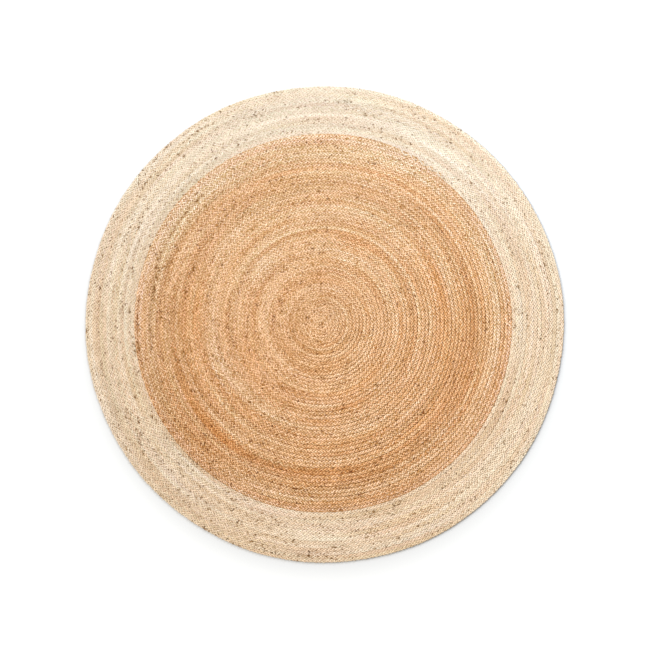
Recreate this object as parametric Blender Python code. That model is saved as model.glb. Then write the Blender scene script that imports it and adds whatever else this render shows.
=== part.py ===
"""Round jute rug, a flat braid wound into a spiral and sewn edge to edge.

Two lengths of braid follow each other on one spiral, which runs clockwise seen from above:
natural jute in the middle and bleached jute round it. Each length is one closed solid with a
flat underside. Its upper side has one ridge a turn, with a groove where two turns are sewn
together. The bleached braid ends in a tail that tapers away on the rim.

Places on the spiral are counted in turns of the braid's middle line, from 0 at the centre.
Distances from the centre are counted in rows, and a row is one braid wide: the row whose
middle is at t turns reaches from t - 0.5 to t + 0.5 rows. Units are metres, and +Z is up.
"""

import math

import bmesh
import bpy

RUG_DIAMETER = 1.500
THICKNESS = 0.0090
GROOVE_HEIGHT = 0.0058
RIM_HEIGHT = 0.0045
COIL_GAP = 0.0003

TURNS = 67
BLEACHED_TURNS = 14 + 1 / 6
TAIL_ANGLE = math.radians(4)
TAIL_TURNS = 1 / 12
STEPS_PER_TURN = 48

# Width of a row at the centre, halfway out and at the rim.
ROW_WIDTH_CENTRE = 0.0100
ROW_WIDTH_HALFWAY = 0.0119
ROW_WIDTH_RIM = 0.0107

# The spiral starts a little off the middle of the outline, and the outer rows even it out.
START_OFFSET = (-0.0120, 0.0060)
ROUNDED_ROWS = 10
RIDGE_LEAN = 0.08
RIM_UNDERCUT = 0.14

# Unevenness of the outline, which fades towards the centre.
WAVE_COUNT = 0
WAVE_HEIGHT = 1
WAVE_ANGLE = 2
OUTLINE_WAVES = [
    # count, height, angle
    (2, 0.0017, math.radians(-26)),
    (6, 0.0008, math.radians(12)),
    (10, 0.0006, math.radians(5)),
]

COILS = {
    # name: colour, roughness
    "natural_coil": ((0.70, 0.41, 0.215), 0.90),
    "bleached_coil": ((0.80, 0.64, 0.455), 0.90),
}
COLLECTION_NAME = "round_jute_rug"
SHARP_ANGLE = math.radians(30)

LAST_STEP = TURNS * STEPS_PER_TURN
SWAP_STEP = LAST_STEP - round(BLEACHED_TURNS * STEPS_PER_TURN)


def smooth(share):
    """Ease from 0 to 1 with level ends."""
    share = min(max(share, 0.0), 1.0)
    return share * share * (3 - 2 * share)


def braid_angle(step):
    """Direction from the centre, counter-clockwise from +X."""
    return TAIL_ANGLE + 2 * math.pi * (TURNS - step / STEPS_PER_TURN)


def braid_width(step):
    """Width of the braid in rows: 1, and less along the tail."""
    turns_left = (LAST_STEP - step) / STEPS_PER_TURN
    return smooth(turns_left / TAIL_TURNS)


def rim_row(step):
    """Rows from the centre to the outline, in the direction of this step."""
    outer_step = step + STEPS_PER_TURN * ((LAST_STEP - step) // STEPS_PER_TURN)
    return outer_step / STEPS_PER_TURN - 0.5 + braid_width(outer_step)


def even_radius(rows):
    """Distance from the centre, with a row width that changes slowly on the way out."""
    share = rows / TURNS
    slope = 4 * ROW_WIDTH_HALFWAY - 3 * ROW_WIDTH_CENTRE - ROW_WIDTH_RIM
    bend = 2 * (ROW_WIDTH_CENTRE + ROW_WIDTH_RIM - 2 * ROW_WIDTH_HALFWAY)
    mean_width = ROW_WIDTH_CENTRE + slope / 2 + bend / 3
    summed_width = ROW_WIDTH_CENTRE * share + slope * share**2 / 2 + bend * share**3 / 3
    return RUG_DIAMETER / 2 * summed_width / mean_width


def place(step, rows, height, clear=0.0, clear_along=0.0):
    """Point on the rug: a step's direction, rows from the centre, and a height.

    clear moves it outwards and clear_along moves it on along the braid.
    """
    rim = rim_row(step)
    near_rim = smooth((rows - rim + ROUNDED_ROWS) / ROUNDED_ROWS)
    radius = even_radius(rows + (TURNS - rim) * near_rim)
    share = radius / (RUG_DIAMETER / 2)
    angle = braid_angle(step)
    for wave in OUTLINE_WAVES:
        wave_turn = wave[WAVE_COUNT] * (angle - wave[WAVE_ANGLE])
        radius += wave[WAVE_HEIGHT] * share**3 * math.cos(wave_turn)
    radius += clear
    if clear_along:
        angle -= clear_along / radius
    x = START_OFFSET[0] * (1 - share) + radius * math.cos(angle)
    y = START_OFFSET[1] * (1 - share) + radius * math.sin(angle)
    return (x, y, height)


def ridge_point(step):
    """Crest of the braid, which leans a little outwards."""
    width = braid_width(step)
    rows = step / STEPS_PER_TURN - 0.5 + width / 2
    if step:
        rows += RIDGE_LEAN * width
    return place(step, rows, RIM_HEIGHT + (THICKNESS - RIM_HEIGHT) * width)


def outer_rows(step):
    """Rows from the centre to the braid's outer edge."""
    return step / STEPS_PER_TURN - 0.5 + braid_width(step)


def natural_mesh():
    """Closed solid of the natural braid, from the centre to the colour change."""
    bm = bmesh.new()
    turn = STEPS_PER_TURN
    ridge = [bm.verts.new(ridge_point(step)) for step in range(SWAP_STEP + 1)]
    groove = []
    for step in range(SWAP_STEP + 1):
        groove.append(bm.verts.new(place(step, outer_rows(step), GROOVE_HEIGHT)))
    floor = {
        step: bm.verts.new(place(step, outer_rows(step), 0.0))
        for step in range(SWAP_STEP - turn, SWAP_STEP + 1)
    }

    # The first turn closes round the start of the braid.
    for step in range(1, turn - 1):
        bm.faces.new((ridge[0], ridge[step], ridge[step + 1]))
    bm.faces.new((ridge[0], ridge[turn - 1], ridge[turn], groove[0]))

    for step in range(SWAP_STEP):
        bm.faces.new((ridge[step], ridge[step + 1], groove[step + 1], groove[step]))
    for step in range(turn, SWAP_STEP):
        inner = step - turn
        bm.faces.new((groove[inner], groove[inner + 1], ridge[step + 1], ridge[step]))

    for step in range(SWAP_STEP - turn, SWAP_STEP):
        bm.faces.new((groove[step], groove[step + 1], floor[step + 1], floor[step]))
    inner = SWAP_STEP - turn
    bm.faces.new((groove[inner], ridge[SWAP_STEP], groove[SWAP_STEP], floor[SWAP_STEP], floor[inner]))
    bm.faces.new(list(floor.values()))
    return bm


def bleached_mesh():
    """Closed solid of the bleached braid, from the colour change to the tip of the tail."""
    bm = bmesh.new()
    turn = STEPS_PER_TURN
    last_inner_step = SWAP_STEP + turn

    # Wall beside the natural braid, a gap outside it.
    wall_top = {}
    wall_floor = {}
    for step in range(SWAP_STEP, last_inner_step + 1):
        at_end = step in (SWAP_STEP, last_inner_step)
        along = COIL_GAP if at_end else 0.0
        rows = outer_rows(step - turn)
        wall_top[step] = bm.verts.new(place(step, rows, GROOVE_HEIGHT, COIL_GAP, along))
        wall_floor[step] = bm.verts.new(place(step, rows, 0.0, COIL_GAP, along))

    # Outer edge of each turn: a groove, or on the last turn the rim.
    groove = {SWAP_STEP: wall_top[last_inner_step]}
    for step in range(SWAP_STEP + 1, LAST_STEP - turn):
        groove[step] = bm.verts.new(place(step, outer_rows(step), GROOVE_HEIGHT))
    for step in range(LAST_STEP - turn, LAST_STEP):
        groove[step] = bm.verts.new(place(step, outer_rows(step), RIM_HEIGHT))
    tip = groove[LAST_STEP - turn]
    groove[LAST_STEP] = tip

    first_crest = place(SWAP_STEP, SWAP_STEP / turn + RIDGE_LEAN, THICKNESS, 0.0, COIL_GAP)
    ridge = {SWAP_STEP: bm.verts.new(first_crest)}
    for step in range(SWAP_STEP + 1, LAST_STEP):
        ridge[step] = bm.verts.new(ridge_point(step))
    ridge[LAST_STEP] = tip

    for step in range(SWAP_STEP, LAST_STEP - 1):
        edge = wall_top if step < last_inner_step else groove
        inner = step if step < last_inner_step else step - turn
        bm.faces.new((edge[inner], edge[inner + 1], ridge[step + 1], ridge[step]))
        bm.faces.new((ridge[step], ridge[step + 1], groove[step + 1], groove[step]))
    before_tip = LAST_STEP - 1
    bm.faces.new((groove[before_tip - turn], tip, ridge[before_tip]))
    bm.faces.new((ridge[before_tip], tip, groove[before_tip]))

    rim_steps = range(LAST_STEP - turn, LAST_STEP)
    rim_floor = {}
    for step in rim_steps:
        rim_floor[step % turn] = bm.verts.new(place(step, outer_rows(step) - RIM_UNDERCUT, 0.0))
    for step in rim_steps:
        here = rim_floor[step % turn]
        onward = rim_floor[(step + 1) % turn]
        bm.faces.new((groove[step], groove[step + 1], onward, here))

    for step in range(SWAP_STEP, last_inner_step):
        bm.faces.new((wall_top[step], wall_top[step + 1], wall_floor[step + 1], wall_floor[step]))
        under = [wall_floor[step], wall_floor[step + 1]]
        under += [rim_floor[(step + 1) % turn], rim_floor[step % turn]]
        if step == SWAP_STEP:
            under.append(wall_floor[last_inner_step])
        bm.faces.new(under)
    start_face = (
        wall_top[SWAP_STEP],
        ridge[SWAP_STEP],
        groove[SWAP_STEP],
        wall_floor[last_inner_step],
        wall_floor[SWAP_STEP],
    )
    bm.faces.new(start_face)
    return bm


def add_coil(name, bm, collection):
    """Make the named object from a mesh, with its own material."""
    bmesh.ops.recalc_face_normals(bm, faces=bm.faces)
    mesh = bpy.data.meshes.new(name)
    bm.to_mesh(mesh)
    bm.free()
    mesh.shade_smooth()
    mesh.set_sharp_from_angle(angle=SHARP_ANGLE)

    colour, roughness = COILS[name]
    material = bpy.data.materials.new(name)
    material.use_nodes = True
    shader = material.node_tree.nodes["Principled BSDF"]
    shader.inputs["Base Color"].default_value = (*colour, 1.0)
    shader.inputs["Roughness"].default_value = roughness
    shader.inputs["Metallic"].default_value = 0.0
    mesh.materials.append(material)

    coil = bpy.data.objects.new(name, mesh)
    collection.objects.link(coil)


def main():
    for old in list(bpy.data.objects):
        bpy.data.objects.remove(old, do_unlink=True)
    collection = bpy.data.collections.new(COLLECTION_NAME)
    bpy.context.scene.collection.children.link(collection)
    add_coil("natural_coil", natural_mesh(), collection)
    add_coil("bleached_coil", bleached_mesh(), collection)


main()
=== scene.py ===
import math

import bmesh
import bpy
import numpy as np
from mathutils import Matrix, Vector


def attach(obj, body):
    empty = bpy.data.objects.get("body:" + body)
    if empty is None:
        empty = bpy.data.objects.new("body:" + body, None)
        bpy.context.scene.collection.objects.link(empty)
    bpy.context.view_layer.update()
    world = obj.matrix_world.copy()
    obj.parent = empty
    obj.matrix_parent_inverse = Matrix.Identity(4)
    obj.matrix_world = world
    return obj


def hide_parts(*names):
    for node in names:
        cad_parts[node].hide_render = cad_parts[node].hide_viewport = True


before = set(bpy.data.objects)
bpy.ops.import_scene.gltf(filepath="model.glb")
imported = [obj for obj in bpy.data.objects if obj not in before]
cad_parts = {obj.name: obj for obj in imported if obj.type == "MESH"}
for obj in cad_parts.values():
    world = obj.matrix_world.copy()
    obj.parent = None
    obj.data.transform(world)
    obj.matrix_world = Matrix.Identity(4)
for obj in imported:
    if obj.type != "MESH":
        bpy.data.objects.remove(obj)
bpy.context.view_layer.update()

# The spiral of the braid, as in the part's source: metres, turns and rows.
RUG_RADIUS = 0.750
THICKNESS = 0.0090
TURNS = 67
BLEACHED_TURNS = 14 + 1 / 6
TAIL_ANGLE = math.radians(4)
TAIL_TURNS = 1 / 12
ROW_WIDTH_CENTRE = 0.0100
ROW_WIDTH_HALFWAY = 0.0119
ROW_WIDTH_RIM = 0.0107
START_OFFSET = (-0.0120, 0.0060)
ROUNDED_ROWS = 10
OUTLINE_WAVES = [
    # count, height, angle
    (2, 0.0017, math.radians(-26)),
    (6, 0.0008, math.radians(12)),
    (10, 0.0006, math.radians(5)),
]
SWAP_TURNS = TURNS - BLEACHED_TURNS

# The braid: three strands that weave past each other. In one repeat a strand swings out and back.
STRANDS = 3
START_TURNS = 0.12
REPEAT_NATURAL = 0.032
REPEAT_BLEACHED = 0.0345
STRAND_HALF_WIDTH = 0.00265
STRAND_HALF_HEIGHT = 0.00225
FLOOR_CLEARANCE = 0.0002

# How far a strand swings to each side, in rows. It swings a little less on one side of the rug, and
# comes no nearer to the centre than the nearest row.
SWING_NATURAL = 0.38
SWING_BLEACHED = 0.40
SWING_LEAN = 0.05
SWING_ANGLE = math.radians(-20)
NEAREST_ROW = 0.12

# How high a strand lies on its way to an edge of the braid, and how low on its way back: below 0, so
# it dips on its way out. A shingle is how steeply the braid slopes up outwards.
RISE_NATURAL = -0.0012
RISE_BLEACHED = -0.0009
SHINGLE_NATURAL = 0.12
SHINGLE_BLEACHED = 0.04

# Size and rise of a strand at the tip of the tail, as shares of those elsewhere.
TIP_SIZE = 0.35
TIP_RISE = 0.4

# Steps along a strand and corners round it, and steps of the table of the braid's length.
STEPS_PER_REPEAT = 8
SIDES = 4
CORNER_ANGLES = np.arange(SIDES) * 2 * math.pi / SIDES
TABLE_STEPS_PER_TURN = 240

# The strands change colour one after the other, this far past the swap, in metres.
SWAP_LAGS = (-0.020, 0.055, 0.130)
SWAP_OVERLAP = 0.006

# Unevenness of the yarn: shares of its width and swing, and metres of its height. It varies over
# about half a repeat.
WIDTH_WANDER = 0.16
SWING_WANDER = 0.14
HEIGHT_WANDER = 0.0004
STITCH_LENGTH = 0.016

# Unevenness of the whole braid: a share of its repeat, and rows of its path.
REPEAT_WANDER = 0.10
REPEAT_WANDER_LENGTH = 0.135
PATH_WANDER = 0.045
PATH_WANDER_LENGTH = 0.180

# Random values that a noise repeats after, and the seeds. Strands add small numbers to theirs.
KNOTS = 8192
REPEAT_SEED = 11
PATH_SEED = 12
ROW_SEED = 13
GROOVE_SEED = 14
FLECK_GROUP_SEED = 15
PATCH_SHADE_SEED = 70
PATCH_WARMTH_SEED = 80
STRAND_SEED = 100
TINT_SEED = 1000
BLEACHED_TINT_SEED = 500

# Linear base colours, and how much each channel follows a change of shade.
NATURAL_COLOUR = (0.693, 0.437, 0.2505)
BLEACHED_COLOUR = (0.660, 0.525, 0.384)
NATURAL_FOLLOW = (1.0, 1.33, 1.95)
BLEACHED_FOLLOW = (1.0, 1.13, 1.33)

# Fine fibres and coarser grain in the yarn. A stretch is the cells of noise in a metre of yarn, and
# in half its width and height. A range is the part of the noise that counts.
FIBRE_STRETCH = (110.0, 5.5, 5.5)
FIBRE_DETAIL = 3.0
FIBRE_ROUGHNESS = 0.6
FIBRE_RANGE = (0.3, 0.7)
FIBRE_SHADE = 0.18
GRAIN_STRETCH = (250.0, 0.8, 0.8)
GRAIN_DETAIL = 1.0
GRAIN_ROUGHNESS = 0.5
GRAIN_RANGE = (0.3, 0.6)
GRAIN_SHADE_NATURAL = 0.38
GRAIN_SHADE_BLEACHED = 0.25
PALE_GRAIN_SHARE = 0.5
PALEST_FIBRE = 0.07

# The strands lie this far apart in the noise, in metres, so that their fibres differ.
STRANDS_APART = 40.0

# Surface of the yarn: roughness at the ends of the fibres' noise, bump, gloss and sheen.
YARN_ROUGHNESS = (0.72, 0.98)
YARN_BUMP = 0.7
YARN_BUMP_HEIGHT = 0.0004
YARN_SPECULAR = 0.12
YARN_SHEEN = 0.05
YARN_SHEEN_ROUGHNESS = 0.5

# The core: inner yarn that shows only between the strands, darkened as painted shade in the gaps.
CORE_SHADE = 0.32
CORE_CONTRAST = 0.4
CORE_SHRINK = 0.002
CORE_FLOOR_GAP = 0.0008
CORE_FLATTEN = 0.45
CORE_STRETCH = (400.0, 400.0, 400.0)
CORE_DETAIL = 3.0
CORE_NOISE_ROUGHNESS = 0.5
CORE_ROUGHNESS = 0.95
CORE_SPECULAR = 0.1
CORE_BUMP = 1.0
CORE_BUMP_HEIGHT = 0.0005

# Painted shade: how much darker the yarn is where it dips under and at the sides of a strand.
DIP_SHADE_NATURAL = 0.14
DIP_SHADE_BLEACHED = 0.0
SIDE_SHADE_NATURAL = 0.52
SIDE_SHADE_BLEACHED = 0.20
SIDE_CURVE = 2.0

# Painted shade in the grooves: how much paler a row is along its middle than in the grooves.
GROOVE_PAINTED_SHADE_NATURAL = 0.35
GROOVE_PAINTED_SHADE_BLEACHED = 0.09

# How much the painted groove shade beside a row changes along it, and over what length. It is
# deepest on one side of the rug, as painted shade for the light falling across the rows there.
GROOVE_WANDER = 0.25
GROOVE_LENGTH = 0.25
GROOVE_SHADE_LEAN = 0.26
GROOVE_SHADE_ANGLE = math.radians(45)

# Uneven colour: shade of single stitches, of a strand and of a row along its length. Stitch shade
# and flecks are strongest on one side of the rug, as painted shade where the light flattens the
# stitches. The limit is in standard deviations, and the shift is how far a change of stitch is
# moved, as a share of one.
STITCH_SHADE = 0.06
STITCH_LIMIT = 2.2
STITCH_SHIFT = 0.25
PAINTED_SHADE_LEAN = 0.45
PAINTED_SHADE_ANGLE = math.radians(205)
YARN_SHADE = 0.05
YARN_LENGTH = 0.09
ROW_SHADE = 0.13
ROW_LENGTH = 0.40

# Uneven warmth and rose of the yarn. Dark yarn is warmer than pale yarn.
STITCH_WARMTH = 0.01
YARN_WARMTH = 0.14
YARN_ROSE = 0.035
HUE_LENGTH = 0.18
DARK_WARMTH = 0.7

# How uneven the colour is in the bleached yarn, and at the centre, as a share of the rest.
BLEACHED_SHADE_SHARE = 0.6
BLEACHED_WARMTH_SHARE = 0.5
CENTRE_SPREAD = 0.4
SPREAD_TURNS = 36

# The darkest shade, and how far above 1 the palest may come.
DARKEST_SHADE = 0.25
PALE_LIMIT = 0.25

# What a warmth of 1 takes from green and from blue. A rose of 1 takes all green.
GREEN_LOSS = 0.6
BLUE_LOSS = 1.3

# Patches of yarn of one tone, on a grid of directions and rows.
PATCHES = [
    # cells around, rows in a cell, shade, warmth
    (5, 5.0, 0.01, 0.06),
    (16, 2.2, 0.06, 0.09),
]

# Short flecks of bark: how much of a strand they take up, and how dark and warm they are. A higher
# grouping gathers them more.
FLECK_SHARE_NATURAL = 0.016
FLECK_SHARE_BLEACHED = 0.027
FLECK_SHADE = (0.25, 0.95)
FLECK_WARMTH = 0.40
FLECK_GROUP_LENGTH = 0.05
FLECK_GROUPING = 3

# Rings where a whole turn of yarn is paler or more orange.
NATURAL_RINGS = [
    # distance, half width, shade, warmth, rose
    (0.050, 0.080, -0.05, 0.000, 0.00),
    (0.092, 0.007, -0.06, 0.055, 0.00),
    (0.146, 0.012, -0.02, 0.030, 0.00),
    (0.212, 0.040, 0.04, -0.030, 0.00),
    (0.278, 0.012, -0.01, 0.030, 0.00),
    (0.326, 0.022, 0.03, -0.050, 0.00),
    (0.416, 0.006, -0.04, 0.000, 0.00),
    (0.470, 0.016, -0.05, 0.055, 0.00),
    (0.545, 0.022, -0.03, -0.070, 0.00),
    (0.566, 0.024, 0.05, -0.130, 0.00),
    (0.583, 0.009, 0.00, -0.120, 0.04),
]
BLEACHED_RINGS = [
    # distance, half width, shade, warmth, rose
    (0.620, 0.006, -0.04, 0.000, 0.00),
    (0.656, 0.009, 0.04, 0.000, 0.00),
]

# Stretches of yarn of another colour, broad painted light, and painted shade in a few dark grooves,
# with flecks in them. The higher the evenness, the more level a mark or fleck is along its length
# before it fades.
MARK_EVENNESS = 4
MARKS = [
    # direction in degrees, distance, half length, half width, shade, warmth, share of flecks
    # Painted light: cooler and darker towards the top, warmer and paler towards the bottom.
    (95, 0.50, 0.60, 0.300, -0.02, -0.11, 0.0),
    (265, 0.50, 0.75, 0.300, 0.00, 0.07, 0.0),
    (70, 0.69, 0.60, 0.080, -0.09, -0.05, 0.0),
    (290, 0.67, 0.40, 0.080, 0.07, 0.00, 0.0),
    (350, 0.48, 0.28, 0.025, -0.09, 0.10, 0.0),
    (165, 0.45, 0.19, 0.030, -0.11, 0.15, 0.0),
    (220, 0.48, 0.14, 0.019, 0.07, 0.05, 0.0),
    (252, 0.47, 0.10, 0.012, -0.03, 0.07, 0.0),
    (97, 0.16, 0.03, 0.005, -0.20, 0.19, 0.0),
    # Painted shade in dark grooves, with flecks in them.
    (150, 0.56, 0.24, 0.003, -0.30, 0.05, 0.2),
    (172, 0.55, 0.11, 0.003, -0.30, 0.05, 0.3),
    (182, 0.59, 0.13, 0.004, -0.25, 0.05, 0.4),
    (190, 0.43, 0.03, 0.004, -0.25, 0.05, 0.3),
]

# The darkest flecks.
FLECK_HALF_LENGTH = 0.0055
FLECK_HALF_WIDTH = 0.0030
FLECKS = [
    # direction in degrees, distance, shade
    (11, 0.62, -0.75),
    (44, 0.64, -0.75),
    (79, 0.67, -0.65),
    (130, 0.69, -0.80),
    (201, 0.64, -0.75),
    (205, 0.69, -0.75),
    (226, 0.34, -0.80),
    (266, 0.73, -0.75),
    (280, 0.47, -0.80),
    (282, 0.27, -0.80),
    (289, 0.71, -0.85),
    (337, 0.62, -0.80),
]

# How many pieces each colour of braid is made in.
NATURAL_PIECES = 5
BLEACHED_PIECES = 2

# Soft studio light: a wide key from the upper left, a smaller and cooler fill beyond the rug's upper
# edge, and a pale room. Places and sizes are in metres, powers in watts.
KEY_PLACE = (-12.4, 3.3, 9.6)
KEY_SIZE = 12.0
KEY_POWER = 2280.0
KEY_COLOUR = (1.02, 1.0, 0.96)
FILL_PLACE = (0.35, 1.05, 1.35)
FILL_SIZE = 1.0
FILL_POWER = 22.5
FILL_COLOUR = (0.90, 1.00, 1.13)
WORLD_STRENGTH = 0.72
WORLD_COLOUR = (1.02, 1.0, 0.96)

# The matte floor: darker beside the rug, as painted shadow that also lets the rug's soft shadow
# show, and palest from the far distance on.
FLOOR_SIZE = 80.0
FLOOR_ROUGHNESS = 1.0
FLOOR_SPECULAR = 0.0
FLOOR_PAINTED_SHADOW_ALBEDO = 0.615
FLOOR_ALBEDO_FAR = 0.85
FLOOR_FAR_DISTANCE = 0.882

# The photograph: 650 by 650 pixels, the rug seen from straight above.
PHOTO_SIZE = 650
RUG_CENTRE_PX = (324.9, 324.45)
RUG_RADIUS_PX = 238.2
LENS_MM = 85
SENSOR_MM = 36


def smooth(share):
    """Ease from 0 to 1 with level ends."""
    share = np.clip(share, 0.0, 1.0)
    return share * share * (3 - 2 * share)


def line_noise(places, spacing, seed):
    """Smooth noise from -1 to 1 along a line, with a new value every spacing."""
    knots = np.random.default_rng(seed).uniform(-1, 1, KNOTS)
    steps = np.asarray(places) / spacing
    before = np.floor(steps).astype(int)
    share = smooth(steps - before)
    return knots[before % KNOTS] * (1 - share) + knots[(before + 1) % KNOTS] * share


def patch_noise(across, down, around, seed):
    """Smooth noise from -1 to 1 on a grid that wraps after a number of cells around."""
    table = np.random.default_rng(seed).uniform(-1, 1, (around, KNOTS))
    left = np.floor(across).astype(int)
    top = np.floor(down).astype(int)
    share_across = smooth(across - left)
    share_down = smooth(down - top)
    upper = table[left % around, top % KNOTS] * (1 - share_across)
    upper = upper + table[(left + 1) % around, top % KNOTS] * share_across
    lower = table[left % around, (top + 1) % KNOTS] * (1 - share_across)
    lower = lower + table[(left + 1) % around, (top + 1) % KNOTS] * share_across
    return upper * (1 - share_down) + lower * share_down


def braid_angle(turns):
    """Direction from the centre, counter-clockwise from +X."""
    return TAIL_ANGLE + 2 * math.pi * (TURNS - turns)


def braid_width(turns):
    """Width of the braid in rows: 1, and less along the tail."""
    return smooth((TURNS - turns) / TAIL_TURNS)


def rim_row(turns):
    """Rows from the centre to the outline, in the direction of this turn."""
    outer_turns = turns + np.floor(TURNS - turns)
    return outer_turns - 0.5 + braid_width(outer_turns)


def even_radius(rows):
    """Distance from the centre, with a row width that changes slowly on the way out."""
    share = rows / TURNS
    slope = 4 * ROW_WIDTH_HALFWAY - 3 * ROW_WIDTH_CENTRE - ROW_WIDTH_RIM
    bend = 2 * (ROW_WIDTH_CENTRE + ROW_WIDTH_RIM - 2 * ROW_WIDTH_HALFWAY)
    mean_width = ROW_WIDTH_CENTRE + slope / 2 + bend / 3
    summed_width = ROW_WIDTH_CENTRE * share + slope * share**2 / 2 + bend * share**3 / 3
    return RUG_RADIUS * summed_width / mean_width


def place(turns, rows, height):
    """Points on the rug: directions, rows from the centre, and heights."""
    rim = rim_row(turns)
    near_rim = smooth((rows - rim + ROUNDED_ROWS) / ROUNDED_ROWS)
    radius = even_radius(rows + (TURNS - rim) * near_rim)
    share = radius / RUG_RADIUS
    angle = braid_angle(turns)
    for count, wave_height, wave_angle in OUTLINE_WAVES:
        radius = radius + wave_height * share**3 * np.cos(count * (angle - wave_angle))
    x = START_OFFSET[0] * (1 - share) + radius * np.cos(angle)
    y = START_OFFSET[1] * (1 - share) + radius * np.sin(angle)
    return np.stack([x, y, height + 0 * x], axis=-1)


class Braid:
    """The middle line of the braid: its turns, its length so far and its weaving phase."""

    def __init__(self):
        steps = int((TURNS - START_TURNS) * TABLE_STEPS_PER_TURN)
        self.turns = np.linspace(START_TURNS, TURNS, steps)
        line = place(self.turns, self.turns, 0.0)
        pieces = np.linalg.norm(np.diff(line, axis=0), axis=1)
        self.length = np.concatenate([[0.0], np.cumsum(pieces)])
        self.swap_length = np.interp(SWAP_TURNS, self.turns, self.length)
        repeat = np.where(self.length < self.swap_length, REPEAT_NATURAL, REPEAT_BLEACHED)
        wander = REPEAT_WANDER * line_noise(self.length, REPEAT_WANDER_LENGTH, REPEAT_SEED)
        repeat = repeat * (1 + wander)
        phase_steps = 2 * math.pi * pieces / repeat[1:]
        self.phase = np.concatenate([[0.0], np.cumsum(phase_steps)])

    def strand_steps(self, strand, low, high):
        """Lengths at which a strand is drawn, at even steps of its weaving phase."""
        shift = 2 * math.pi * strand / STRANDS
        ends = np.interp([low, high], self.length, self.phase) + shift
        step = 2 * math.pi / STEPS_PER_REPEAT
        phases = np.arange(math.ceil(ends[0] / step), math.floor(ends[1] / step) + 1) * step
        return np.interp(phases - shift, self.phase, self.length), phases


def strand_points(braid, strand, length, phase):
    """Centre line, half widths and half heights of a strand, and its rows from the braid's middle."""
    turns = np.interp(length, braid.length, braid.turns)
    width = braid_width(turns)
    seed = STRAND_SEED * (strand + 1)
    natural = length < braid.swap_length
    swing = np.where(natural, SWING_NATURAL, SWING_BLEACHED)
    shingle = np.where(natural, SHINGLE_NATURAL, SHINGLE_BLEACHED)
    rise = np.where(natural, RISE_NATURAL, RISE_BLEACHED)
    tilt = shingle * swing * ROW_WIDTH_HALFWAY * np.sin(phase)
    swing = swing * (1 - SWING_LEAN * np.cos(braid_angle(turns) - SWING_ANGLE))
    swing = swing * (1 + SWING_WANDER * line_noise(length, STITCH_LENGTH, seed + 1))
    wander = PATH_WANDER * line_noise(length, PATH_WANDER_LENGTH, PATH_SEED)
    middle_row = turns - 0.5 + width / 2
    rows = middle_row + width * (swing * np.sin(phase) + wander)
    rows = np.maximum(rows, NEAREST_ROW)
    across = rows - middle_row
    middle = THICKNESS / 2 + HEIGHT_WANDER * line_noise(length, STITCH_LENGTH, seed + 2)
    height = middle + (rise * np.sin(2 * phase) + tilt) * (TIP_RISE + (1 - TIP_RISE) * width)
    size = 1 + WIDTH_WANDER * line_noise(length, STITCH_LENGTH, seed + 3)
    size = size * (TIP_SIZE + (1 - TIP_SIZE) * width)
    return place(turns, rows, height), STRAND_HALF_WIDTH * size, STRAND_HALF_HEIGHT * size, across


def spot_weight(points, direction, distance, half_length, half_width):
    """Weight from 0 to 1 of a spot that is drawn out along the rows."""
    turn = np.arctan2(points[:, 1], points[:, 0]) - math.radians(direction)
    along = (np.mod(turn + math.pi, 2 * math.pi) - math.pi) * distance
    across = np.hypot(points[:, 0], points[:, 1]) - distance
    return np.exp(-((along / half_length) ** MARK_EVENNESS) - (across / half_width) ** 2)


def marks(points, bleached):
    """Shade, warmth and rose that the rings, marks and flecks add at points of the yarn."""
    shade = np.zeros(len(points))
    warmth = np.zeros(len(points))
    rose = np.zeros(len(points))
    radius = np.hypot(points[:, 0], points[:, 1])
    rings = BLEACHED_RINGS if bleached else NATURAL_RINGS
    for distance, half_width, ring_shade, ring_warmth, ring_rose in rings:
        weight = np.exp(-(((radius - distance) / half_width) ** 2))
        shade += ring_shade * weight
        warmth += ring_warmth * weight
        rose += ring_rose * weight
    for direction, distance, half_length, half_width, mark_shade, mark_warmth, _ in MARKS:
        weight = spot_weight(points, direction, distance, half_length, half_width)
        shade += mark_shade * weight
        warmth += mark_warmth * weight
    for direction, distance, fleck_shade in FLECKS:
        weight = spot_weight(points, direction, distance, FLECK_HALF_LENGTH, FLECK_HALF_WIDTH)
        shade += fleck_shade * weight
        warmth -= FLECK_WARMTH * fleck_shade * weight
    return np.stack([shade, warmth, rose])


def fleck_depth(points, length, phase, painted_shade_lean, seed, bleached):
    """How much darker the flecks make the yarn along a strand: 0 where there is none."""
    step = np.rint(phase * STEPS_PER_REPEAT / (2 * math.pi)).astype(int)
    random = np.random.default_rng(seed).uniform(0, 1, (2, step.max() + 1))
    group = line_noise(length, FLECK_GROUP_LENGTH, FLECK_GROUP_SEED)
    share = FLECK_SHARE_BLEACHED if bleached else FLECK_SHARE_NATURAL
    share = share * painted_shade_lean * (1 + group) ** FLECK_GROUPING
    for direction, distance, half_length, half_width, _, _, mark_flecks in MARKS:
        weight = spot_weight(points, direction, distance, half_length, half_width)
        share = share + mark_flecks * weight
    palest, darkest = FLECK_SHADE
    depth = palest + (darkest - palest) * random[1][step] ** 2
    return np.where(random[0][step] < share, depth, 0.0)


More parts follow.
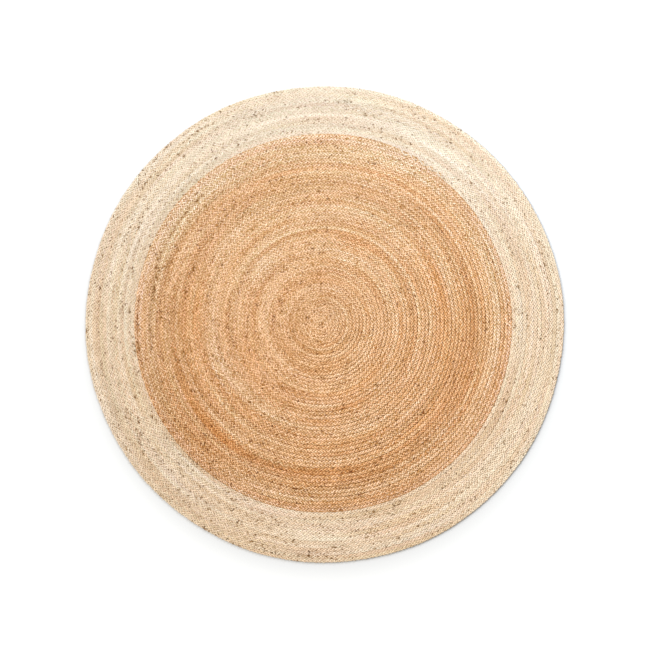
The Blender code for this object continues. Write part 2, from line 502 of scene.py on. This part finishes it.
def strand_tint(braid, strand, points, length, phase, bleached):
    """Shade, warmth and rose of the yarn along a strand: 0, 0 and 0 are its plain colour."""
    seed = TINT_SEED * (strand + 1) + (BLEACHED_TINT_SEED if bleached else 0)
    stitch = np.floor(phase / math.pi + STITCH_SHIFT).astype(int)
    stitch_random = np.random.default_rng(seed).normal(0, 1, (2, stitch.max() + 1))
    stitch_shade = np.clip(stitch_random[0][stitch], -STITCH_LIMIT, STITCH_LIMIT)
    yarn = line_noise(length, YARN_LENGTH, seed + 2)
    row = line_noise(length, ROW_LENGTH, ROW_SEED)
    turns = np.interp(length, braid.length, braid.turns)
    warmth = STITCH_WARMTH * stitch_random[1][stitch]
    warmth = warmth + YARN_WARMTH * line_noise(length, HUE_LENGTH, seed + 4)
    rose = YARN_ROSE * line_noise(length, HUE_LENGTH, seed + 3)
    shade = YARN_SHADE * yarn + ROW_SHADE * row
    turn_share = np.mod(braid_angle(turns) / (2 * math.pi), 1.0)
    for number, (around, rows, patch_shade, patch_warmth) in enumerate(PATCHES):
        across = turn_share * around
        down = turns / rows
        shade = shade + patch_shade * patch_noise(across, down, around, PATCH_SHADE_SEED + number)
        patch = patch_noise(across, down, around, PATCH_WARMTH_SEED + number)
        warmth = warmth + patch_warmth * patch
    warmth = warmth - DARK_WARMTH * shade
    spread = CENTRE_SPREAD + (1 - CENTRE_SPREAD) * smooth(turns / SPREAD_TURNS)
    # Painted shade: stitches and flecks are most uneven where the light flattens the stitches.
    painted_shade_lean = 1 + PAINTED_SHADE_LEAN * np.cos(braid_angle(turns) - PAINTED_SHADE_ANGLE)
    shade = shade * spread + STITCH_SHADE * stitch_shade * painted_shade_lean
    warmth = warmth * spread
    rose = rose * spread
    if bleached:
        shade = shade * BLEACHED_SHADE_SHARE
        warmth = warmth * BLEACHED_WARMTH_SHARE
    fleck = fleck_depth(points, length, phase, painted_shade_lean, seed + 6, bleached)
    return shade - fleck, warmth + FLECK_WARMTH * fleck, rose


def groove_shade_strength(points, length):
    """Strength of the painted shade in the grooves beside a strand, 1 on average."""
    angle = np.arctan2(points[:, 1], points[:, 0])
    lean = GROOVE_SHADE_LEAN * np.cos(angle - GROOVE_SHADE_ANGLE)
    return 1 + lean + GROOVE_WANDER * line_noise(length, GROOVE_LENGTH, GROOVE_SEED)


def strand_colour(shade, warmth, rose, phase, groove, across, half_width, bleached):
    """Colour of a strand's corners, as a share of its base colour."""
    # Painted shade where the strand dips under another.
    dip = 0.5 + 0.5 * np.sin(2 * phase)
    sideways = np.cos(CORNER_ANGLES) * half_width[:, None]
    corner_across = across[:, None] + sideways / ROW_WIDTH_HALFWAY
    dip_shade = DIP_SHADE_BLEACHED if bleached else DIP_SHADE_NATURAL
    groove_painted_shade = GROOVE_PAINTED_SHADE_BLEACHED if bleached else GROOVE_PAINTED_SHADE_NATURAL
    # Painted shade: the grooves darker and the middle of the row paler.
    groove_shading = 1 + groove_painted_shade * groove[:, None] * np.cos(2 * math.pi * corner_across)
    shade = np.maximum(1 + shade, DARKEST_SHADE)
    shade = shade * (1 - dip_shade * dip[:, None]) * groove_shading
    follow = np.array(BLEACHED_FOLLOW if bleached else NATURAL_FOLLOW)
    shade = np.where(shade > 1, 1 + PALE_LIMIT * np.tanh((shade - 1) / PALE_LIMIT), shade)
    colour = shade[..., None] ** follow
    colour[..., 1] *= (1 - GREEN_LOSS * warmth) * (1 - rose)
    colour[..., 2] *= 1 - BLUE_LOSS * warmth
    return colour


def tube(points, half_width, half_height):
    """Corners of a tube of SIDES sides round a line, flattened like laid yarn."""
    along = np.gradient(points, axis=0)
    along = along / np.linalg.norm(along, axis=1, keepdims=True)
    side = np.cross(along, (0.0, 0.0, 1.0))
    side = side / np.linalg.norm(side, axis=1, keepdims=True)
    up = np.cross(side, along)
    across = np.cos(CORNER_ANGLES)[None, :, None] * side[:, None, :] * half_width[:, None, None]
    over = np.sin(CORNER_ANGLES)[None, :, None] * up[:, None, :] * half_height[:, None, None]
    corners = points[:, None, :] + across + over
    corners[..., 2] = np.maximum(corners[..., 2], FLOOR_CLEARANCE)
    return corners


def tube_faces(rings, first):
    """Quads of a four-sided tube of so many rings, numbered from first, and of its two ends."""
    ring = np.arange(rings - 1)[:, None] * SIDES
    corner = np.arange(SIDES)[None, :]
    onward = (corner + 1) % SIDES
    quads = np.stack([ring + corner, ring + onward, ring + SIDES + onward, ring + SIDES + corner], -1)
    last = (rings - 1) * SIDES
    ends = np.array([[3, 2, 1, 0], [last, last + 1, last + 2, last + 3]])
    return np.concatenate([quads.reshape(-1, 4), ends]) + first


def quad_mesh(name, corners, faces):
    """Smooth mesh of four-cornered faces from arrays."""
    mesh = bpy.data.meshes.new(name)
    mesh.vertices.add(len(corners))
    mesh.vertices.foreach_set("co", corners.astype(np.float32).ravel())
    mesh.loops.add(faces.size)
    mesh.loops.foreach_set("vertex_index", faces.astype(np.int32).ravel())
    mesh.polygons.add(len(faces))
    mesh.polygons.foreach_set("loop_start", np.arange(0, faces.size, 4, dtype=np.int32))
    mesh.update(calc_edges=True)
    mesh.validate()
    mesh.shade_smooth()
    return mesh


def set_attribute(mesh, name, kind, channel, values):
    """Give each point of a mesh a value that its material reads by name."""
    layer = mesh.attributes.new(name, kind, "POINT")
    layer.data.foreach_set(channel, values.astype(np.float32).ravel())


def add_object(name, mesh, material):
    """Link a mesh to the scene as an object of one material."""
    mesh.materials.append(material)
    item = bpy.data.objects.new(name, mesh)
    bpy.context.scene.collection.objects.link(item)
    return item


def strand_span(braid, strand, bleached, low, high):
    """Lengths between which a strand runs in a piece: each changes colour at its own place."""
    swap = braid.swap_length + SWAP_LAGS[strand]
    if bleached and low <= braid.swap_length:
        low = swap - SWAP_OVERLAP
    if not bleached and high >= braid.swap_length:
        high = swap
    return low, high


def yarn_places(length, strand):
    """Places of a strand's corners in the yarn: along it, sideways and up, the last two -1 to 1."""
    places = np.zeros((len(length), SIDES, 3))
    places[..., 0] = length[:, None] + STRANDS_APART * strand
    places[..., 1] = np.cos(CORNER_ANGLES)
    places[..., 2] = np.sin(CORNER_ANGLES)
    return places


def braid_piece(name, braid, bleached, low, high, material):
    """One stretch of the braid, with its three strands as tubes in one mesh."""
    corners = []
    faces = []
    tints = []
    places = []
    first = 0
    for strand in range(STRANDS):
        strand_low, strand_high = strand_span(braid, strand, bleached, low, high)
        length, phase = braid.strand_steps(strand, strand_low, strand_high)
        points, half_width, half_height, across = strand_points(braid, strand, length, phase)
        rings = tube(points, half_width, half_height).reshape(-1, 3)
        corners.append(rings)
        faces.append(tube_faces(len(length), first))
        first += len(rings)
        tones = np.stack(strand_tint(braid, strand, points, length, phase, bleached))
        ring_tones = marks(rings, bleached).reshape(3, -1, SIDES)
        shade, warmth, rose = tones[:, :, None] + ring_tones
        groove = groove_shade_strength(points, length)
        tints.append(strand_colour(shade, warmth, rose, phase, groove, across, half_width, bleached))
        places.append(yarn_places(length, strand))
    mesh = quad_mesh(name, np.concatenate(corners), np.concatenate(faces))
    opaque_tints = np.pad(np.concatenate(tints), ((0, 0), (0, 0), (0, 1)), constant_values=1.0)
    set_attribute(mesh, "yarn_tint", "FLOAT_COLOR", "color", opaque_tints)
    set_attribute(mesh, "yarn_place", "FLOAT_VECTOR", "vector", np.concatenate(places))
    return add_object(name, mesh, material)


def new_material(name, specular):
    """A node material, its tree and its shader."""
    material = bpy.data.materials.new(name)
    material.use_nodes = True
    tree = material.node_tree
    shader = tree.nodes["Principled BSDF"]
    shader.inputs["Specular IOR Level"].default_value = specular
    return material, tree, shader


def attribute(tree, name, output):
    """Value that the points of a mesh hold under a name."""
    node = tree.nodes.new("ShaderNodeAttribute")
    node.attribute_name = name
    return node.outputs[output]


def stretched_noise(tree, coordinates, stretch, detail, roughness):
    """Noise at coordinates that are stretched first."""
    mapping = tree.nodes.new("ShaderNodeMapping")
    mapping.inputs["Scale"].default_value = stretch
    tree.links.new(coordinates, mapping.inputs["Vector"])
    noise = tree.nodes.new("ShaderNodeTexNoise")
    noise.inputs["Scale"].default_value = 1.0
    noise.inputs["Detail"].default_value = detail
    noise.inputs["Roughness"].default_value = roughness
    tree.links.new(mapping.outputs["Vector"], noise.inputs["Vector"])
    return noise.outputs["Fac"]


def mapped(tree, value, old_range, new_range):
    """A value moved from one range to another, and held at its ends."""
    node = tree.nodes.new("ShaderNodeMapRange")
    ends = ("From Min", "From Max", "To Min", "To Max")
    for end, number in zip(ends, (*old_range, *new_range)):
        node.inputs[end].default_value = number
    tree.links.new(value, node.inputs["Value"])
    return node.outputs["Result"]


def calculated(tree, kind, operation, *inputs):
    """First output of a maths node, whose inputs are numbers or the outputs of other nodes."""
    node = tree.nodes.new(kind)
    node.operation = operation
    for socket, value in zip(node.inputs, inputs):
        if isinstance(value, bpy.types.NodeSocket):
            tree.links.new(value, socket)
        else:
            socket.default_value = value
    return node.outputs[0]


def add_bump(tree, shader, height, strength, distance):
    """Raise and lower the look of a surface by a value of its texture."""
    bump = tree.nodes.new("ShaderNodeBump")
    bump.inputs["Strength"].default_value = strength
    bump.inputs["Distance"].default_value = distance
    tree.links.new(height, bump.inputs["Height"])
    tree.links.new(bump.outputs["Normal"], shader.inputs["Normal"])


def yarn_shade(tree, place_on_yarn, fibres, grain_shade, side_shade):
    """Shade that the fibres and the grain add, with painted shade at the sides of a strand: 0 is
    plain.
    """
    grain = stretched_noise(tree, place_on_yarn, GRAIN_STRETCH, GRAIN_DETAIL, GRAIN_ROUGHNESS)
    fibre_shade = mapped(tree, fibres, FIBRE_RANGE, (-FIBRE_SHADE, FIBRE_SHADE))
    grain_shades = (-grain_shade, grain_shade * PALE_GRAIN_SHARE)
    coarse_shade = mapped(tree, grain, GRAIN_RANGE, grain_shades)
    both = calculated(tree, "ShaderNodeMath", "ADD", fibre_shade, coarse_shade)
    # Painted shade, darker towards the sides and the underside of a strand.
    parts = tree.nodes.new("ShaderNodeSeparateXYZ")
    tree.links.new(place_on_yarn, parts.inputs["Vector"])
    below = calculated(tree, "ShaderNodeMath", "SUBTRACT", 1.0, parts.outputs["Z"])
    curve = calculated(tree, "ShaderNodeMath", "POWER", below, SIDE_CURVE)
    with_side = calculated(tree, "ShaderNodeMath", "MULTIPLY_ADD", curve, -side_shade, both)
    return calculated(tree, "ShaderNodeMath", "MINIMUM", with_side, PALEST_FIBRE)


def yarn_material(name, colour, follow, grain_shade, side_shade):
    """Matte jute: long fibres along the yarn, in colour, roughness and bump."""
    material, tree, shader = new_material(name, YARN_SPECULAR)
    shader.inputs["Sheen Weight"].default_value = YARN_SHEEN
    shader.inputs["Sheen Roughness"].default_value = YARN_SHEEN_ROUGHNESS
    place_on_yarn = attribute(tree, "yarn_place", "Vector")
    fibres = stretched_noise(tree, place_on_yarn, FIBRE_STRETCH, FIBRE_DETAIL, FIBRE_ROUGHNESS)

    shade = yarn_shade(tree, place_on_yarn, fibres, grain_shade, side_shade)
    white = (1.0, 1.0, 1.0)
    followed = calculated(tree, "ShaderNodeVectorMath", "MULTIPLY_ADD", shade, follow, white)
    tint = attribute(tree, "yarn_tint", "Color")
    tinted = calculated(tree, "ShaderNodeVectorMath", "MULTIPLY", tint, colour)
    shaded = calculated(tree, "ShaderNodeVectorMath", "MULTIPLY", tinted, followed)
    tree.links.new(shaded, shader.inputs["Base Color"])

    rough = mapped(tree, fibres, (0.0, 1.0), YARN_ROUGHNESS)
    tree.links.new(rough, shader.inputs["Roughness"])
    add_bump(tree, shader, fibres, YARN_BUMP, YARN_BUMP_HEIGHT)
    return material


def core_material():
    """Inner yarn of natural jute, seen only between the strands and darkened there as painted shade.
    """
    material, tree, shader = new_material("natural_coil_inside", CORE_SPECULAR)
    shader.inputs["Roughness"].default_value = CORE_ROUGHNESS
    coordinates = tree.nodes.new("ShaderNodeTexCoord").outputs["Object"]
    grain = stretched_noise(tree, coordinates, CORE_STRETCH, CORE_DETAIL, CORE_NOISE_ROUGHNESS)
    mix = tree.nodes.new("ShaderNodeMix")
    mix.data_type = "RGBA"
    shaded = np.array(NATURAL_COLOUR) * CORE_SHADE ** np.array(NATURAL_FOLLOW)
    mix.inputs["A"].default_value = (*(shaded * (1 - CORE_CONTRAST)), 1.0)
    mix.inputs["B"].default_value = (*(shaded * (1 + CORE_CONTRAST)), 1.0)
    tree.links.new(grain, mix.inputs["Factor"])
    tree.links.new(mix.outputs["Result"], shader.inputs["Base Color"])
    add_bump(tree, shader, grain, CORE_BUMP, CORE_BUMP_HEIGHT)
    return material


def add_braid(braid, name, bleached, ends):
    """All pieces of one colour of braid, which stand for that colour's node."""
    colour = BLEACHED_COLOUR if bleached else NATURAL_COLOUR
    follow = BLEACHED_FOLLOW if bleached else NATURAL_FOLLOW
    grain_shade = GRAIN_SHADE_BLEACHED if bleached else GRAIN_SHADE_NATURAL
    side_shade = SIDE_SHADE_BLEACHED if bleached else SIDE_SHADE_NATURAL
    material = yarn_material(f"{name}_jute", colour, follow, grain_shade, side_shade)
    braids = []
    for number in range(len(ends) - 1):
        piece_name = f"{name}_braid_{number + 1}"
        piece = braid_piece(piece_name, braid, bleached, ends[number], ends[number + 1], material)
        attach(piece, "root")
        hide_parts(f"{name}_coil")
        braids.append(piece)
    return braids


def add_core():
    """The core of the whole rug, made from both nodes."""
    bm = bmesh.new()
    for node in ("natural_coil", "bleached_coil"):
        bm.from_mesh(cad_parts[node].data)
    shrink = 1 - CORE_SHRINK
    for vert in bm.verts:
        x, y, z = vert.co
        vert.co = (x * shrink, y * shrink, CORE_FLOOR_GAP + z * CORE_FLATTEN)
    mesh = bpy.data.meshes.new("rug_core")
    bm.to_mesh(mesh)
    bm.free()
    mesh.shade_smooth()
    core = add_object("rug_core", mesh, core_material())
    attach(core, "root")
    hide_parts("natural_coil", "bleached_coil")


def floor_material():
    """Pale floor, darker beside the rug as painted shadow, so that its soft shadow also shows."""
    material, tree, shader = new_material("floor", FLOOR_SPECULAR)
    shader.inputs["Roughness"].default_value = FLOOR_ROUGHNESS
    coordinates = tree.nodes.new("ShaderNodeTexCoord")
    distance = tree.nodes.new("ShaderNodeVectorMath")
    distance.operation = "LENGTH"
    tree.links.new(coordinates.outputs["Object"], distance.inputs[0])
    distances = (RUG_RADIUS, FLOOR_FAR_DISTANCE)
    albedos = (FLOOR_PAINTED_SHADOW_ALBEDO, FLOOR_ALBEDO_FAR)
    albedo = mapped(tree, distance.outputs["Value"], distances, albedos)
    tree.links.new(albedo, shader.inputs["Base Color"])
    return material


def add_floor():
    """Pale floor with a painted shadow round the rug."""
    mesh = bpy.data.meshes.new("floor")
    half = FLOOR_SIZE / 2
    corners = [(-half, -half, 0), (half, -half, 0), (half, half, 0), (-half, half, 0)]
    mesh.from_pydata(corners, [], [range(len(corners))])
    floor = add_object("floor", mesh, floor_material())


def add_light(name, position, size, power, colour):
    """Round soft light that faces the middle of the rug."""
    light = bpy.data.lights.new(name, "AREA")
    light.shape = "DISK"
    light.size = size
    light.energy = power
    light.color = colour
    lamp = bpy.data.objects.new(name, light)
    lamp.location = position
    lamp.rotation_euler = (-Vector(position)).to_track_quat("-Z", "Y").to_euler()
    lamp.visible_camera = False
    bpy.context.scene.collection.objects.link(lamp)


def add_room_light():
    """Even light from all round, and colours shown as they are."""
    world = bpy.data.worlds.new("studio")
    world.use_nodes = True
    background = world.node_tree.nodes["Background"]
    background.inputs["Color"].default_value = (*WORLD_COLOUR, 1.0)
    background.inputs["Strength"].default_value = WORLD_STRENGTH
    bpy.context.scene.world = world
    bpy.context.scene.view_settings.view_transform = "Standard"


def add_camera():
    """Camera straight above, at the distance that gives the rug its size in the photograph."""
    camera = bpy.data.objects.new("camera", bpy.data.cameras.new("camera"))
    camera.data.lens = LENS_MM
    camera.data.sensor_width = SENSOR_MM
    pixel = RUG_RADIUS / RUG_RADIUS_PX
    middle = PHOTO_SIZE / 2
    right = (middle - RUG_CENTRE_PX[0]) * pixel
    up = (RUG_CENTRE_PX[1] - middle) * pixel
    camera.location = (right, up, PHOTO_SIZE * pixel * LENS_MM / SENSOR_MM)
    bpy.context.scene.collection.objects.link(camera)
    bpy.context.scene.camera = camera


def main():
    """Build the rug, and the floor, lights and camera that show it."""
    braid = Braid()
    natural_ends = np.linspace(0.0, braid.swap_length, NATURAL_PIECES + 1)
    bleached_ends = np.linspace(braid.swap_length, braid.length[-1], BLEACHED_PIECES + 1)
    braids = add_braid(braid, "natural", False, natural_ends)
    braids += add_braid(braid, "bleached", True, bleached_ends)
    add_core()
    add_floor()
    add_light("key", KEY_PLACE, KEY_SIZE, KEY_POWER, KEY_COLOUR)
    add_light("fill", FILL_PLACE, FILL_SIZE, FILL_POWER, FILL_COLOUR)
    add_room_light()
    add_camera()


main()
